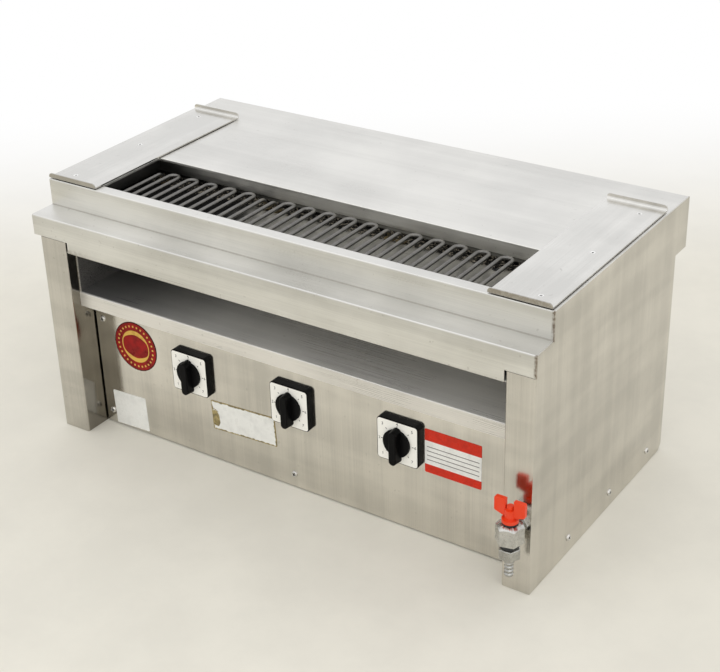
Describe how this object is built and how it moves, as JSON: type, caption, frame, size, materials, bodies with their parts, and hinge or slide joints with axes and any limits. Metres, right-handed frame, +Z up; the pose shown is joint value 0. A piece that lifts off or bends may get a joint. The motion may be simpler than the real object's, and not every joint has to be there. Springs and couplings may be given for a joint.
{
  "type": "yakitori grill",
  "caption": "Electric yakitori grill of folded stainless sheet with serpentine heaters over a water pan, an open shelf, rotary switches and a drain cock on the front post.",
  "frame": {"origin": "middle of the underside of the base plate, halfway between the front of the posts and the rear panel", "axes": "+X to the user's right along the front, +Y to the back, +Z up"},
  "size_m": [0.8463, 0.5026, 0.4105],
  "materials": {
    "stainless": "dull brushed stainless sheet with wipe marks",
    "plain_steel": "plain mill finish",
    "pan_steel": "smooth sheet, heat stained",
    "heater_sheath": "oxidised grey sheath",
    "screw_steel": "bright turned",
    "brass": "plain turned",
    "ceramic": "unglazed insulator",
    "black_plastic": "glossy black moulding",
    "legend_plastic": "cream plate with dark marks",
    "dark_plastic": "matte moulding",
    "shaft_steel": "turned",
    "plated_brass": "bright nickel plate",
    "seal_rubber": "matte",
    "red_plastic": "glossy orange-red moulding",
    "badge_film": "dark red printed film with a pale ring",
    "label_film": "white film",
    "label_plate": "printed plate with plain bands"
  },
  "bodies": {
    "housing": {"top_cover": "stainless", "left_end_plate": "stainless", "right_side_panel": "stainless", "left_side_panel": "stainless", "rear_panel": "stainless", "apron": "stainless", "control_panel": "stainless", "shelf": "stainless", "left_skewer_plate": "stainless", "right_skewer_plate": "stainless", "base_plate": "plain_steel", "wiring_cover": "plain_steel", "shelf_supports": "plain_steel", "drain_pipe": "plain_steel", "skewer_plate_spacers": "plain_steel", "water_pan": "pan_steel", "heater_rest": "pan_steel", "heater_left": "heater_sheath", "heater_middle": "heater_sheath", "heater_right": "heater_sheath", "skewer_plate_screws": "screw_steel", "skewer_plate_nuts": "screw_steel", "control_panel_screws": "screw_steel", "side_panel_screws": "screw_steel", "rear_panel_screws": "screw_steel", "heater_bushings": "brass", "heater_nuts": "brass", "heater_terminals": "ceramic", "switch_frame_left": "black_plastic", "switch_frame_middle": "black_plastic", "switch_frame_right": "black_plastic", "legend_plate_left": "legend_plastic", "legend_plate_middle": "legend_plastic", "legend_plate_right": "legend_plastic", "switch_body_left": "dark_plastic", "switch_body_middle": "dark_plastic", "switch_body_right": "dark_plastic", "cable_gland": "dark_plastic", "gland_nut": "dark_plastic", "terminal_block": "dark_plastic", "valve_body": "plated_brass", "valve_locknuts": "plated_brass", "outlet_nut": "plated_brass", "hose_barb": "plated_brass", "stem_seal": "seal_rubber", "valve_gasket": "seal_rubber", "round_badge": "badge_film", "square_label": "label_film", "long_label": "label_film", "banded_plate": "label_plate"},
    "cock_handle": {"valve_handle": "red_plastic", "valve_stem": "shaft_steel", "valve_ball": "plated_brass"},
    "left_switch_knob": {"knob_left": "black_plastic", "switch_shaft_left": "shaft_steel"},
    "middle_switch_knob": {"knob_middle": "black_plastic", "switch_shaft_middle": "shaft_steel"},
    "right_switch_knob": {"knob_right": "black_plastic", "switch_shaft_right": "shaft_steel"}
  },
  "joints": [
    {"name": "left_switch_turn", "type": "hinge", "parent": "housing", "child": "left_switch_knob", "pos_m": [-0.1696, -0.175, 0.1436], "axis": [0, 1, 0], "range_deg": [0, 315]},
    {"name": "middle_switch_turn", "type": "hinge", "parent": "housing", "child": "middle_switch_knob", "pos_m": [0.0127, -0.175, 0.1436], "axis": [0, 1, 0], "range_deg": [0, 315]},
    {"name": "right_switch_turn", "type": "hinge", "parent": "housing", "child": "right_switch_knob", "pos_m": [0.195, -0.175, 0.1436], "axis": [0, 1, 0], "range_deg": [0, 315]},
    {"name": "cock_turn", "type": "hinge", "parent": "housing", "child": "cock_handle", "pos_m": [0.40425, -0.2385, 0.111], "axis": [0, 0, 1], "range_deg": [0, 90]}
  ]
}
